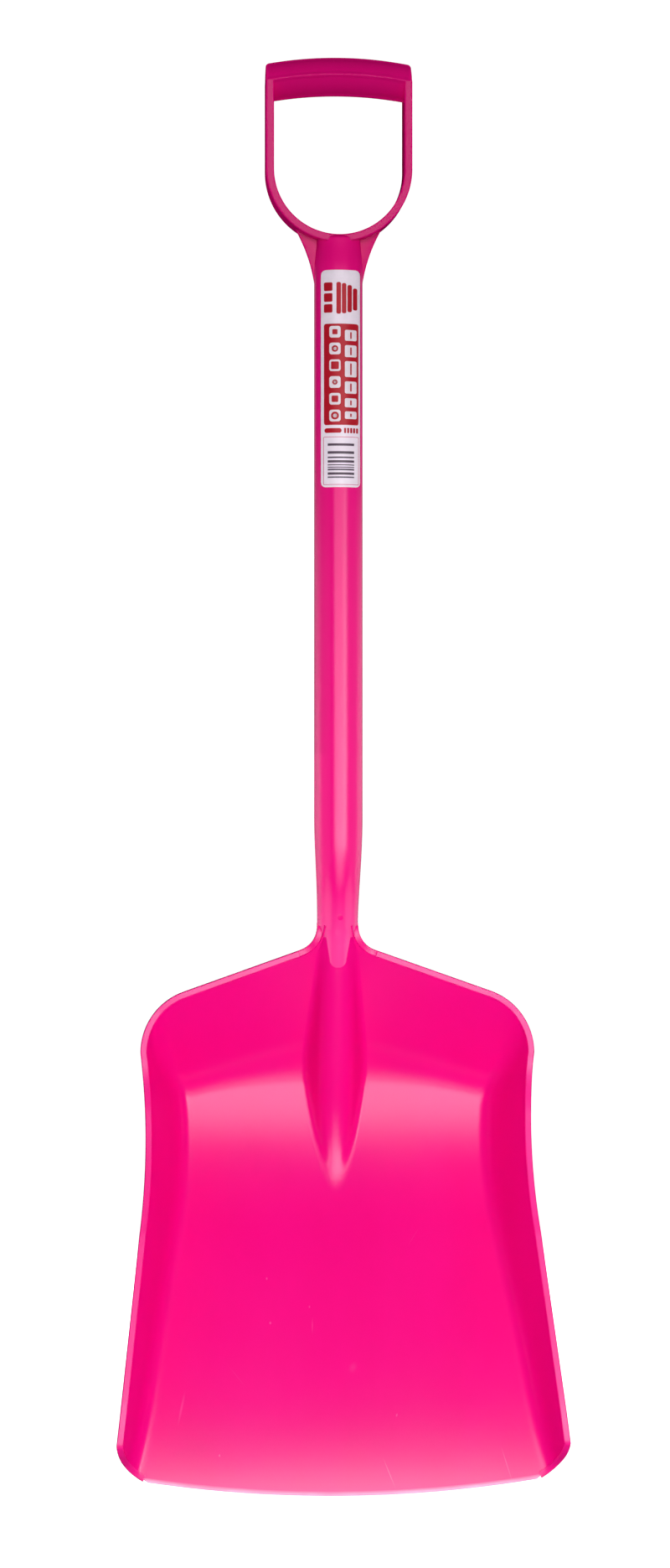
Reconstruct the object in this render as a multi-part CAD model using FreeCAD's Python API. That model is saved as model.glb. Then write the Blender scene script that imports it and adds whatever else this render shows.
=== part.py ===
"""Moulded plastic pan shovel with a D-grip, upright on its lip.

+Z runs up the shaft, +X is to the right, and the scooping side faces -Y.
All lengths are in millimetres.
"""
import FreeCAD, Part
import math
import os

V = FreeCAD.Vector

# ---------------------------------------------------------------- layout
shaft_axis_y = 12.6          # shaft axis behind the middle of the overall depth
bar_crown_z = 1109.4         # highest point of the grip bar

# ---------------------------------------------------------------- pan
rim_back_y = 7.0             # rim of the back wall, behind the shaft axis
lip_y = -58.0                # scooping face at the lip, ahead of the shaft axis
lip_slope = 0.20             # rise of the floor into the depth, at the lip
floor_slope = 0.46           # the same, well behind the lip
lip_fade = 45.0              # how far up the floor its flatter mouth reaches
floor_level_z = 200.0        # the floor starts to level off here
floor_level_rate = 0.0019    # its gain in depth falls behind by this times height squared
floor_end_z = 325.0          # height where the floor meets the back wall, on the centre line
floor_arch = 0.0013          # fall of that line towards the sides, times width squared
floor_back_blend = 10.0      # depth over which the floor rounds into the back wall
side_steepness = 2.2         # gain in depth of a side wall, per millimetre sideways
side_ease = 0.01             # share of it lost per millimetre above the floor
least_back_height = 12.0     # keeps the back wall's slope finite at the shoulders
wall_blend = 18.0            # the same for the side walls
wall_blend_fade = 12.0       # depth below the rim at which that blend is full
sheet_thickness = 3.2
lip_thickness = 1.8
lip_taper_z = 26.0           # the sheet thins below this height

# ---------------------------------------------------------------- blade outline
top_slope = 0.355            # fall of the top edge, per millimetre sideways
top_peak_z = 425.3           # where both top edges would meet on the middle line
shoulder_radius = 50.6
shoulder_x = 103.2           # centre of the shoulder arc
shoulder_z = 335.0
waist_half = 150.3
waist_z = 288.0
hip_half = 155.1             # the side runs straight from here to the mouth
hip_z = 198.0
mouth_half = 173.3
mouth_z = 41.0
corner_mid = (167.6, 25.0)
corner_half = 153.0
corner_z = 11.8
corner_end_shift = 0.75      # move of the corner's end, per millimetre of inset
corner_mid_shift = (0.8, 0.6)
rim_width = 5.0
rim_proud = 1.0              # rim stands this far ahead of the wall's edge
rim_depth = 5.5
rim_slope = 0.30             # advance of the rim towards the mouth
rim_bend_z = 325.0
rim_bend_reach = 40.0
lip_height = 14.0

# ---------------------------------------------------------------- shaft and neck
shaft_radius = 18.9
tube_wall = 4.0
shaft_bottom_z = 567.0
shaft_top_z = 944.0
neck_radius = 16.0
neck_bottom_z = 433.7        # front of the neck stops here, on top of the blade
neck_fillet = 20.0           # from the neck to the top edge of the blade
neck_bend_z = 480.0
neck_bend_reach = 20.0
neck_lean = 0.263            # the neck leans back by this much per millimetre down
neck_swell = 85.0            # length over which it swells to the shaft's size
neck_bore_z = 398.0          # blind end of the hollow
neck_tail_z = 320.0          # the back of the neck has sunk into the wall here
neck_tail_radius = 6.0

# ---------------------------------------------------------------- frog
frog_foot_z = 245.0          # the crest is at its narrowest below this height
frog_full_z = 305.0          # widest here, where it also starts to bend upright
frog_radius = 17.0
frog_tip_radius = 8.0
frog_bend_rate = 0.0022      # advance of the crest, times height squared
frog_fillet = 8.0            # depth over which its flanks round into the pan
frog_bite = 1.2              # the fillets aim this deep behind the pan's face
frog_low_z = 215.0           # the crest is inside the floor here
frog_reach = 44.0            # its flanks are inside the walls this far sideways
flank_start = 0.92           # the flanks leave the round crest at this share

# ---------------------------------------------------------------- handle
strap_outer = 56.7
strap_inner = 50.7
strap_depth = 30.0
bow_z = 1020.8               # centre of the round bottom of the D
bar_height = 31.3
bar_depth = 32.0
bar_sweep = 300.0            # radius of the bar's gentle crown
facet_bulge = 0.66           # 0.5 is a diamond section, 0.71 is round
socket_top_radius = 17.2
web_thickness = 5.0
web_foot_inset = 1.5         # the foot starts this deep inside the shaft
web_foot_z = 918.0
web_waist = (23.2, 951.7)
web_head = (37.0, 976.0)

# ---------------------------------------------------------------- label
label_thickness = 0.25
label_low_z = 773.8
label_high_z = 941.8
label_half = 15.3            # half width, seen from the front
label_centre_x = 1.0
label_corner = 3.5

# ---------------------------------------------------------------- construction
far = 250.0                  # clear of every face, for cutting blocks
joint_depth = 1.0            # blocks reach this deep into a neighbour before trimming
bar_overrun = 2.0            # degrees of grip bar beyond the strap before trimming
slope_step = 0.5             # half span over which the pan's slope is taken
grid_rows = 56               # rows and columns of the interpolated faces
grid_columns = 45
grid_low_z = -10.0
grid_margin = 12.0
neck_stations = 20
rim_station_step = 11.0


# ---------------------------------------------------------------- surfaces

def smooth_min(first, second, blend):
    """Smaller of two depths, with the corner between them rounded."""
    if blend <= 0.0:
        return min(first, second)
    overlap = max(blend - abs(first - second), 0.0) / blend
    return min(first, second) - overlap * overlap * blend / 4.0


def ramp(distance, reach):
    """Zero before -reach, distance after +reach, and a smooth bend between."""
    if distance <= -reach:
        return 0.0
    if distance >= reach:
        return distance
    return (distance + reach) ** 2 / (4.0 * reach)


def floor_y(z):
    """Depth of the floor: flatter at the lip, levelling off before the back wall."""
    fade = (floor_slope - lip_slope) * lip_fade
    reach = floor_end_z - floor_level_z
    above = max(z - floor_level_z, 0.0)
    levelling = above * above
    if above > reach:
        levelling = reach * (2.0 * above - reach)
    mouth = fade * (1.0 - math.exp(-z / lip_fade))
    return lip_y + floor_slope * z - mouth - floor_level_rate * levelling


def rim_y(z):
    """Depth of the walls' edge under the rim."""
    return rim_back_y - rim_slope * ramp(rim_bend_z - z, rim_bend_reach)


def inner_half_width(z):
    """Half width of the pan inside the rim, at one height."""
    turn = shoulder_radius * math.sqrt(0.5)
    if z > shoulder_z + turn:
        half = shoulder_x + turn - (z - shoulder_z - turn)
    elif z > shoulder_z:
        half = shoulder_x + math.sqrt(shoulder_radius ** 2 - (z - shoulder_z) ** 2)
    elif z > waist_z:
        shoulder_half = shoulder_x + shoulder_radius
        share = (z - waist_z) / (shoulder_z - waist_z)
        half = waist_half + (shoulder_half - waist_half) * share * share * (3.0 - 2.0 * share)
    elif z > hip_z:
        share = (waist_z - z) / (waist_z - hip_z)
        half = waist_half + (hip_half - waist_half) * share * share
    else:
        half = hip_half + (mouth_half - hip_half) * (hip_z - z) / (hip_z - mouth_z)
    return half - rim_width


def inner_top_z(x):
    """Top edge of the back wall inside the rim, at one distance sideways."""
    turn = shoulder_radius * math.sqrt(0.5)
    lean = math.hypot(1.0, top_slope)
    tangent_x = shoulder_x + shoulder_radius * top_slope / lean
    if x < tangent_x:
        top = top_peak_z - top_slope * x
    elif x < shoulder_x + turn:
        top = shoulder_z + math.sqrt(shoulder_radius ** 2 - (x - shoulder_x) ** 2)
    else:
        top = shoulder_z + turn - (x - shoulder_x - turn)
    return top - rim_width * lean


def pan_y(x, z):
    """Depth of the pan's scooping face, without the frog."""
    across = abs(x)
    rim = rim_y(z)
    steepness = side_steepness / (1.0 + side_ease * max(z - floor_end_z, 0.0))
    side = rim + steepness * (inner_half_width(z) - across)
    top = inner_top_z(across)
    end = floor_end_z - floor_arch * across * across
    back_slope = (floor_y(end) - rim_back_y) / max(top - end, least_back_height)
    back = rim_back_y + back_slope * (top - z)
    below_rim = max(min(side, back) - rim, 0.0)
    fade = 1.0 - math.exp(-below_rim / wall_blend_fade)
    trough = smooth_min(floor_y(z), back, floor_back_blend)
    return smooth_min(trough, side, fade * wall_blend)


def sheet_at(z):
    """Thickness of the moulded sheet, thinner at the lip."""
    share = min(max(z / lip_taper_z, 0.0), 1.0)
    return lip_thickness + (sheet_thickness - lip_thickness) * share


def crest_y(z):
    """Front line of the frog: straight on from the neck, then bending upright at its foot."""
    axis = (neck_bend_z - z) * neck_lean
    bend = frog_bend_rate * max(frog_full_z - z, 0.0) ** 2
    return axis - neck_radius * math.hypot(1.0, neck_lean) - bend


def crest_radius(z):
    """Roundness of the frog's crest, which widens up to the wall and narrows to the neck."""
    if z > frog_full_z:
        rise = (z - frog_full_z) / (neck_bottom_z - frog_full_z)
        return frog_radius + (neck_radius - frog_radius) * rise
    share = max((z - frog_foot_z) / (frog_full_z - frog_foot_z), 0.0)
    return frog_tip_radius + (frog_radius - frog_tip_radius) * share


def frog_y(x, z):
    """Depth of the frog: a round crest with straight flanks that flare into the pan."""
    radius = crest_radius(z)
    edge = flank_start * radius
    inner = min(abs(x), edge)
    slope = flank_start / math.sqrt(1.0 - flank_start ** 2)
    arc = radius - math.sqrt(radius * radius - inner * inner)
    ridge = crest_y(z) + arc + slope * (abs(x) - inner)
    return smooth_min(ridge, pan_y(x, z) + frog_bite, frog_fillet)


# ---------------------------------------------------------------- helpers
def spread(low, high, count):
    return [low + (high - low) * i / (count - 1) for i in range(count)]


def surface_face(rows):
    surface = Part.BSplineSurface()
    surface.interpolate(rows)
    return surface.toShape()


def box(x_low, x_high, y_low, y_high, z_low, z_high):
    return Part.makeBox(x_high - x_low, y_high - y_low, z_high - z_low, V(x_low, y_low, z_low))


def largest_solid(shape):
    return max(shape.Solids, key=lambda solid: solid.Volume)


# ---------------------------------------------------------------- blade
def pan_blocks():
    """Everything behind the pan's front face, and behind its back face."""
    front_rows = []
    back_rows = []
    for z in spread(grid_low_z, neck_bottom_z + grid_margin / 2.0, grid_rows):
        reach = inner_half_width(z) + grid_margin
        front = []
        back = []
        for turn in spread(-math.pi / 2.0, math.pi / 2.0, grid_columns):
            x = reach * math.sin(turn)
            place = V(x, pan_y(x, z), z)
            across = pan_y(x + slope_step, z) - pan_y(x - slope_step, z)
            along = pan_y(x, z + slope_step) - pan_y(x, z - slope_step)
            normal = V(-across, 2.0 * slope_step, -along).normalize()
            front.append(place)
            back.append(place + normal * sheet_at(z))
        front_rows.append(front)
        back_rows.append(back)
    behind_front = surface_face(front_rows).extrude(V(0, far, 0))
    behind_back = surface_face(back_rows).extrude(V(0, far, 0))
    return behind_front, behind_back


def half_outline(inset):
    """Right half of the blade's outline from neck to lip, as edges in order."""
    lean = math.hypot(1.0, top_slope)
    out = V(top_slope / lean, 0, 1.0 / lean)
    fillet_x = neck_radius + neck_fillet
    fillet_z = top_peak_z - top_slope * fillet_x + neck_fillet * lean
    fillet_centre = V(fillet_x, 0, fillet_z)
    fillet_radius = neck_fillet + inset
    middle_way = (V(-1, 0, 0) - out).normalize()
    start = V(neck_radius - inset, 0, fillet_z)
    edge_start = fillet_centre - out * fillet_radius
    fillet = Part.Arc(start, fillet_centre + middle_way * fillet_radius, edge_start)
    shoulder = V(shoulder_x, 0, shoulder_z)
    radius = shoulder_radius - inset
    edge_end = shoulder + out * radius
    side_way = (V(1, 0, 0) + out).normalize()
    shoulder_end = shoulder + V(radius, 0, 0)
    shoulder_arc = Part.Arc(edge_end, shoulder + side_way * radius, shoulder_end)
    hip = V(hip_half - inset, 0, hip_z)
    waist = Part.Arc(shoulder_end, V(waist_half - inset, 0, waist_z), hip)
    mouth = V(mouth_half - inset, 0, mouth_z)
    end_x = corner_half - corner_end_shift * inset
    corner_end = V(end_x, 0, lip_arc_z(end_x))
    via_x = corner_mid[0] - corner_mid_shift[0] * inset
    corner_via = V(via_x, 0, corner_mid[1] + corner_mid_shift[1] * inset)
    corner = Part.Arc(mouth, corner_via, corner_end)
    curves = [fillet, Part.LineSegment(edge_start, edge_end), shoulder_arc, waist]
    curves += [Part.LineSegment(hip, mouth), corner]
    return [curve.toShape() for curve in curves]


def lip_arc_z(x):
    """The lip is a shallow arc that touches the ground in the middle."""
    radius = (corner_half ** 2 + corner_z ** 2) / (2.0 * corner_z)
    return radius - math.sqrt(radius * radius - x * x)


def blade_prism(inset):
    """The blade's outline as a block through the whole depth."""
    right = half_outline(inset)
    left = [edge.mirror(V(0, 0, 0), V(1, 0, 0)) for edge in right]
    top = right[0].valueAt(right[0].FirstParameter)
    end = right[-1].valueAt(right[-1].LastParameter)
    lip = Part.Arc(V(end.x, 0, end.z), V(0, 0, 0), V(-end.x, 0, end.z)).toShape()
    closing = Part.LineSegment(V(-top.x, 0, top.z), V(top.x, 0, top.z)).toShape()
    wire = Part.Wire(Part.__sortEdges__(right + left + [lip, closing]))
    face = Part.Face(wire)
    face.translate(V(0, -far, 0))
    return face.extrude(V(0, 2.0 * far, 0))


def right_rim():
    """Rim flange of the right side: a strip swept down the blade's outline."""
    edges = half_outline(0.0)
    first = edges[0]
    last = edges[-1]
    stations = [(first.valueAt(first.FirstParameter), first.tangentAt(first.FirstParameter))]
    for edge in edges:
        count = max(3, int(edge.Length / rim_station_step))
        for i in range(count):
            at = edge.FirstParameter + (edge.LastParameter - edge.FirstParameter) * (i + 0.5) / count
            stations.append((edge.valueAt(at), edge.tangentAt(at)))
    stations.append((last.valueAt(last.LastParameter), last.tangentAt(last.LastParameter)))
    sections = []
    for place, tangent in stations:
        outward = V(-tangent.z, 0, tangent.x)
        inner = place - outward * rim_width
        face_y = pan_y(inner.x, inner.z) - rim_proud
        back_y = face_y + rim_depth
        corners = [V(inner.x, face_y, inner.z), V(place.x, face_y, place.z)]
        corners += [V(place.x, back_y, place.z), V(inner.x, back_y, inner.z)]
        sections.append(Part.makePolygon(corners + corners[:1]))
    return Part.makeLoft(sections, True, False)


def lip_block():
    """Everything below a line that runs parallel to the lip."""
    radius = (corner_half ** 2 + corner_z ** 2) / (2.0 * corner_z)
    disc = Part.makeCylinder(radius - lip_height, 2.0 * far, V(0, -far, radius), V(0, 1, 0))
    slab = box(-far, far, -far, far, -far, corner_z + lip_height)
    return slab.cut(disc)


def frog(behind_front):
    """Tapered rib that carries the shaft's strength into the floor."""
    rows = []
    for z in spread(frog_low_z, neck_bottom_z, grid_rows):
        rows.append([V(x, frog_y(x, z), z) for x in spread(-frog_reach, frog_reach, grid_columns)])
    ridge = surface_face(rows).extrude(V(0, far / 2.0, 0))
    return largest_solid(ridge.cut(behind_front))


# ---------------------------------------------------------------- neck and shaft
def tilted_circle(z, radius):
    """One round section of the neck, square to its axis."""
    drop = ramp(neck_bend_z - z, neck_bend_reach)
    share = min(max((neck_bend_z + neck_bend_reach - z) / (2.0 * neck_bend_reach), 0.0), 1.0)
    axis = V(0, -neck_lean * share, 1)
    return Part.Wire(Part.Circle(V(0, neck_lean * drop, z), axis, radius).toShape())


def neck_radius_at(z):
    """Radius that swells from the waist of the neck to the shaft, and shrinks to its tail."""
    if z < neck_bottom_z:
        share = (neck_bottom_z - z) / (neck_bottom_z - neck_tail_z)
        return neck_radius + (neck_tail_radius - neck_radius) * share
    share = min(max((z - neck_bottom_z) / neck_swell, 0.0), 1.0)
    return neck_radius + (shaft_radius - neck_radius) * share * share * (3.0 - 2.0 * share)


def neck_loft(thinner, low_z):
    """The neck from the shaft down to one height, on a smaller radius if asked."""
    sections = []
    for z in spread(shaft_bottom_z, low_z, neck_stations):
        sections.append(tilted_circle(z, neck_radius_at(z) - thinner))
    return Part.makeLoft(sections, True, False)


def neck(behind_back):
    """Cranked tube that narrows to the blade, its back sunk into the wall."""
    outside = neck_loft(0.0, neck_tail_z)
    bore = neck_loft(tube_wall, neck_bore_z)
    above = box(-far, far, -far, far, neck_bottom_z, shaft_bottom_z + far)
    tail = outside.common(behind_back)
    return outside.common(above).fuse(tail).removeSplitter().cut(bore)


def shaft():
    """Straight tube between the neck and the handle."""
    height = shaft_top_z - shaft_bottom_z
    outside = Part.makeCylinder(shaft_radius, height, V(0, 0, shaft_bottom_z))
    return outside.cut(Part.makeCylinder(shaft_radius - tube_wall, height, V(0, 0, shaft_bottom_z)))


# ---------------------------------------------------------------- handle and label
def strap():
    """Flat strap bent into the sides and round bottom of the D."""
    return u_block(strap_outer).cut(u_block(strap_inner))


def u_block(half):
    """Block with a round bottom, as deep as the strap and ending inside the bar."""
    front = -strap_depth / 2.0
    disc = Part.makeCylinder(half, strap_depth, V(0, front, bow_z), V(0, 1, 0))
    arms = box(-half, half, front, front + strap_depth, bow_z, bar_axis_z(strap_outer))
    return disc.fuse(arms).removeSplitter()


def bar_axis_z(x):
    """Height of the grip bar's crowned middle line."""
    crown = bar_crown_z - bar_height / 2.0
    return crown - bar_sweep + math.sqrt(bar_sweep ** 2 - x * x)


def grip_bar(strap_shape):
    """Crowned bar with a rounded-diamond section, swept about one centre."""
    high = bar_height / 2.0
    deep = bar_depth / 2.0
    middle = bar_axis_z(0.0)
    corners = [(0.0, high), (deep, 0.0), (0.0, -high), (-deep, 0.0)]
    edges = []
    for i, (y, z) in enumerate(corners):
        next_y, next_z = corners[(i + 1) % 4]
        via = V(0, (y + next_y) * facet_bulge, middle + (z + next_z) * facet_bulge)
        edges.append(Part.Arc(V(0, y, middle + z), via, V(0, next_y, middle + next_z)).toShape())
    face = Part.Face(Part.Wire(edges))
    centre = V(0, 0, middle - bar_sweep)
    half_turn = math.degrees(math.asin(strap_outer / bar_sweep)) + bar_overrun
    bar = face.revolve(centre, V(0, 1, 0), half_turn)
    bar = bar.fuse(face.revolve(centre, V(0, -1, 0), half_turn)).removeSplitter()
    bar = bar.common(box(-strap_outer, strap_outer, -far, far, bow_z, bar_crown_z + far))
    return bar.cut(strap_shape)


def socket(strap_shape):
    """Tapered collar between the shaft and the bottom of the D."""
    top = bow_z - strap_inner - joint_depth
    cone = Part.makeCone(shaft_radius, socket_top_radius, top - shaft_top_z, V(0, 0, shaft_top_z))
    return largest_solid(cone.cut(strap_shape))


def web(side, solids):
    """Thin gusset from one side of the shaft to the bottom of the D."""
    foot = V(side * (shaft_radius - web_foot_inset), 0, web_foot_z)
    waist = V(side * web_waist[0], 0, web_waist[1])
    head = V(side * web_head[0], 0, web_head[1])
    inner_x = side * (socket_top_radius - web_thickness)
    inner = V(inner_x, 0, web_foot_z)
    corner = V(inner_x, 0, bow_z)
    sweep = Part.Arc(foot, waist, head).toShape()
    lines = [Part.makeLine(head, corner), Part.makeLine(corner, inner), Part.makeLine(inner, foot)]
    face = Part.Face(Part.Wire([sweep] + lines))
    face.translate(V(0, -web_thickness / 2.0, 0))
    plate = face.extrude(V(0, web_thickness, 0))
    inside = Part.makeCylinder(strap_inner + joint_depth, far, V(0, -far / 2.0, bow_z), V(0, 1, 0))
    plate = plate.cut(inside)
    for solid in solids:
        plate = plate.cut(solid)
    return largest_solid(plate)


def label():
    """Wrapped sticker with rounded corners on the front of the shaft."""
    height = label_high_z - label_low_z
    base = V(0, 0, label_low_z)
    skin = Part.makeCylinder(shaft_radius + label_thickness, height, base)
    skin = skin.cut(Part.makeCylinder(shaft_radius, height, base))
    low_x = label_centre_x - label_half
    card = box(low_x, low_x + 2.0 * label_half, -far, 0.0, label_low_z, label_high_z)
    upright = [edge for edge in card.Edges if abs(edge.tangentAt(edge.FirstParameter).y) > 0.99]
    return skin.common(card.makeFillet(label_corner, upright))


# ---------------------------------------------------------------- whole shovel
def build():
    """Every node of the shovel by name, with the shaft's axis on Y = 0."""
    behind_front, behind_back = pan_blocks()
    neck_shape = neck(behind_back)
    prism = blade_prism(rim_width)
    rib = frog(behind_front)
    rim_right = largest_solid(right_rim().cut(prism).cut(neck_shape).cut(rib))
    rim_left = rim_right.mirror(V(0, 0, 0), V(1, 0, 0))
    lip_zone = lip_block()
    sheet = prism.common(behind_front).cut(behind_back)
    d_strap = strap()
    collar = socket(d_strap)
    core = Part.makeCylinder(shaft_radius, shaft_top_z - shaft_bottom_z, V(0, 0, shaft_bottom_z))
    return {
        "blade_pan": largest_solid(sheet.cut(lip_zone)),
        "blade_lip": largest_solid(sheet.common(lip_zone)),
        "rim_right": rim_right,
        "rim_left": rim_left,
        "frog": rib,
        "neck": neck_shape,
        "shaft_tube": shaft(),
        "handle_socket": collar,
        "web_right": web(1.0, [d_strap, collar, core]),
        "web_left": web(-1.0, [d_strap, collar, core]),
        "d_strap": d_strap,
        "grip_bar": grip_bar(d_strap),
        "label": label(),
    }


os.makedirs("parts", exist_ok=True)
for name, shape in build().items():
    shape.translate(V(0, shaft_axis_y, 0))
    shape.exportStep("parts/" + name + ".step")
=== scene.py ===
"""Looks of a moulded plastic pan shovel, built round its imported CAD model.

Shapes are worked out in millimetres, as in the CAD source, and new_piece turns them into metres.
Textures, lights and the camera are given in metres.
"""

import math

import bmesh
import bpy
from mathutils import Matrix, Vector


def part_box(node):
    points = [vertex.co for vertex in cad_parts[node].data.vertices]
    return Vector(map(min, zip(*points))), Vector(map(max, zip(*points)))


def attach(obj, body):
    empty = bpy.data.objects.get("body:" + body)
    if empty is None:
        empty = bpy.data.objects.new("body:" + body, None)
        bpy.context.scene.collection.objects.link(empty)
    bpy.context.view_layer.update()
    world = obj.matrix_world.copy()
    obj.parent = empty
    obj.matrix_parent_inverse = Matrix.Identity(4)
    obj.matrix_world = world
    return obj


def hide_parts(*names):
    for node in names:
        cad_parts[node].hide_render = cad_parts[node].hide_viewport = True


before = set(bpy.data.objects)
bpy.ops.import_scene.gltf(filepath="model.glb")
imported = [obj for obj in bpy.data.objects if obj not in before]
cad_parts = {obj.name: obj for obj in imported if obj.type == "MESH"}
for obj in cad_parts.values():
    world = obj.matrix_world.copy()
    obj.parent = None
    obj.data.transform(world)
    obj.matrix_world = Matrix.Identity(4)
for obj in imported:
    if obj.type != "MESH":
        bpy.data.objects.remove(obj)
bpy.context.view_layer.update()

MM = 0.001

# ---- sizes read from the frame


def node_box(name):
    """Lowest and highest corner of one CAD node, in mm."""
    low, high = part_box(name)
    return low / MM, high / MM


shaft_low, shaft_high = node_box("shaft_tube")
strap_low, strap_high = node_box("d_strap")
bar_low, bar_high = node_box("grip_bar")
label_low, label_high = node_box("label")
axis_y = (shaft_low.y + shaft_high.y) / 2.0
shaft_radius = (shaft_high.x - shaft_low.x) / 2.0
shaft_bottom_z = shaft_low.z
shaft_top_z = shaft_high.z

# ---- sizes of the moulding, in mm
rim_back_y = 7.0
lip_y = -58.0
lip_slope = 0.20
floor_slope = 0.46
lip_fade = 45.0
floor_level_z = 200.0
floor_level_rate = 0.0019
floor_end_z = 325.0
floor_arch = 0.0013
floor_back_blend = 10.0
side_steepness = 2.2
side_ease = 0.01
least_back_height = 12.0
wall_blend = 18.0
wall_blend_fade = 12.0
sheet_thickness = 3.2
lip_thickness = 1.8
lip_taper_z = 26.0

top_slope = 0.355
top_peak_z = 425.3
shoulder_radius = 50.6
shoulder_x = 103.2
shoulder_z = 335.0
waist_half = 150.3
waist_z = 288.0
hip_half = 155.1
hip_z = 198.0
mouth_half = 173.3
mouth_z = 41.0
corner_mid = (167.6, 25.0)
corner_half = 153.0
corner_z = 11.8
corner_inset = 0.75
corner_mid_inset = (-0.8, 0.6)
rim_width = 5.0
rim_proud = 1.0
rim_soft = 0.8
rim_depth = 5.5
rim_slope = 0.30
rim_bend_z = 325.0
rim_bend_reach = 40.0
mouth_run_z = 80.0
mouth_run_depth = 18.0

neck_radius = 16.0
neck_bottom_z = 433.7
seam_z = 425.0
neck_fillet = 20.0
neck_bend_z = 480.0
neck_bend_reach = 20.0
neck_lean = 0.263
neck_swell = 85.0
neck_tail_z = 320.0
neck_tail_radius = 2.0
boss_slope = 2.35
flare_drop = 20.0

frog_foot_z = 240.0
frog_full_z = 305.0
frog_radius = 17.0
frog_tip_radius = 16.0
frog_bend_z = 298.0
frog_straight_z = 240.0
frog_bend_rate = 0.00314
flank_slope = 1.8
flank_foot_slope = 0.5
flank_neck_slope = 3.0
flank_neck_z = 408.0
fillet_full = 6.5
fillet_tip = 2.5

bar_height = 31.3
bar_sweep = 300.0
strap_thickness = 6.0
web_thickness = 5.0
web_foot = (17.4, 918.0)
web_waist = (23.2, 951.7)
web_head_x = 36.6

# ---- how finely shapes are worked out
weld_distance = 1e-6
crease_angle = 38.0
search_reach = 45.0
halvings = 40
shaft_sides = 96

# ---- the moulding's surfaces


def smooth_min(first, second, blend):
    """Lesser of two depths, rounded over where they cross."""
    if blend <= 0.0:
        return min(first, second)
    overlap = max(blend - abs(first - second), 0.0) / blend
    return min(first, second) - overlap * overlap * blend / 4.0


def smooth_max(first, second, blend):
    return -smooth_min(-first, -second, blend)


def clamp01(value):
    return min(max(value, 0.0), 1.0)


def ramp(distance, reach):
    """Distance past a bend, eased in over the bend's reach."""
    if distance <= -reach:
        return 0.0
    if distance >= reach:
        return distance
    return (distance + reach) ** 2 / (4.0 * reach)


def floor_y(z):
    """Depth of the floor: shallow at the lip, steeper above it, then levelling towards the back."""
    fade = (floor_slope - lip_slope) * lip_fade
    reach = floor_end_z - floor_level_z
    above = max(z - floor_level_z, 0.0)
    levelling = floor_level_rate * (above * above if above < reach else reach * (2.0 * above - reach))
    return lip_y + floor_slope * z - fade * (1.0 - math.exp(-z / lip_fade)) - levelling


def rim_y(z):
    """Depth of the walls' edge, which draws back a little at the mouth."""
    run_out = clamp01(1.0 - z / mouth_run_z)
    return rim_back_y - rim_slope * ramp(rim_bend_z - z, rim_bend_reach) + mouth_run_depth * run_out * run_out


def inner_half_width(z):
    """Half width of the scoop inside its rim, at one height."""
    turn = shoulder_radius * math.sqrt(0.5)
    if z > shoulder_z + turn:
        half = shoulder_x + turn - (z - shoulder_z - turn)
    elif z > shoulder_z:
        half = shoulder_x + math.sqrt(shoulder_radius ** 2 - (z - shoulder_z) ** 2)
    elif z > waist_z:
        share = (z - waist_z) / (shoulder_z - waist_z)
        gain = shoulder_x + shoulder_radius - waist_half
        half = waist_half + gain * share * share * (3.0 - 2.0 * share)
    elif z > hip_z:
        share = (waist_z - z) / (waist_z - hip_z)
        half = waist_half + (hip_half - waist_half) * share * share
    else:
        half = hip_half + (mouth_half - hip_half) * (hip_z - z) / (hip_z - mouth_z)
    return half - rim_width


def inner_top_z(x):
    """Height of the scoop's top edge inside its rim, at one distance from the middle."""
    turn = shoulder_radius * math.sqrt(0.5)
    lean = math.hypot(1.0, top_slope)
    tangent_x = shoulder_x + shoulder_radius * top_slope / lean
    if x < tangent_x:
        top = top_peak_z - top_slope * x
    elif x < shoulder_x + turn:
        top = shoulder_z + math.sqrt(shoulder_radius ** 2 - (x - shoulder_x) ** 2)
    else:
        top = shoulder_z + turn - (x - shoulder_x - turn)
    return top - rim_width * lean


def pan_y(x, z):
    """Depth of the scooping face, without the frog."""
    across = abs(x)
    rim = rim_y(z)
    steepness = side_steepness / (1.0 + side_ease * max(z - floor_end_z, 0.0))
    side = rim + steepness * (inner_half_width(z) - across)
    top = inner_top_z(across)
    end = floor_end_z - floor_arch * across * across
    back_slope = (floor_y(end) - rim_back_y) / max(top - end, least_back_height)
    back = rim_back_y + back_slope * (top - z)
    below_rim = max(min(side, back) - rim, 0.0)
    fade = 1.0 - math.exp(-below_rim / wall_blend_fade)
    trough = smooth_min(floor_y(z), back, floor_back_blend)
    return smooth_min(trough, side, fade * wall_blend)


def normal_of(surface, x, z):
    """Unit normal of a depth surface, pointing to the back."""
    step = 0.4
    across = (surface(x + step, z) - surface(x - step, z)) / (2.0 * step)
    along = (surface(x, z + step) - surface(x, z - step)) / (2.0 * step)
    return Vector((-across, 1.0, -along)).normalized()


def sheet_at(z):
    """Thickness of the moulded sheet, thinner at the lip."""
    return lip_thickness + (sheet_thickness - lip_thickness) * clamp01(z / lip_taper_z)


def pan_back_point(x, z):
    return Vector((x, pan_y(x, z), z)) + normal_of(pan_y, x, z) * sheet_at(z)


def neck_axis_y(z):
    return neck_lean * ramp(neck_bend_z - z, neck_bend_reach)


def neck_radius_at(z):
    share = clamp01((z - neck_bottom_z) / neck_swell)
    return neck_radius + (shaft_radius - neck_radius) * share * share * (3.0 - 2.0 * share)


def crest_y(z):
    """Front line of the frog: straight on from the neck, then bending upright at its foot."""
    drop = max(frog_bend_z - z, 0.0)
    reach = frog_bend_z - frog_straight_z
    bend = frog_bend_rate * (drop * drop if drop < reach else reach * (2.0 * drop - reach))
    return (neck_bend_z - z) * neck_lean - neck_radius * math.hypot(1.0, neck_lean) - bend


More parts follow.
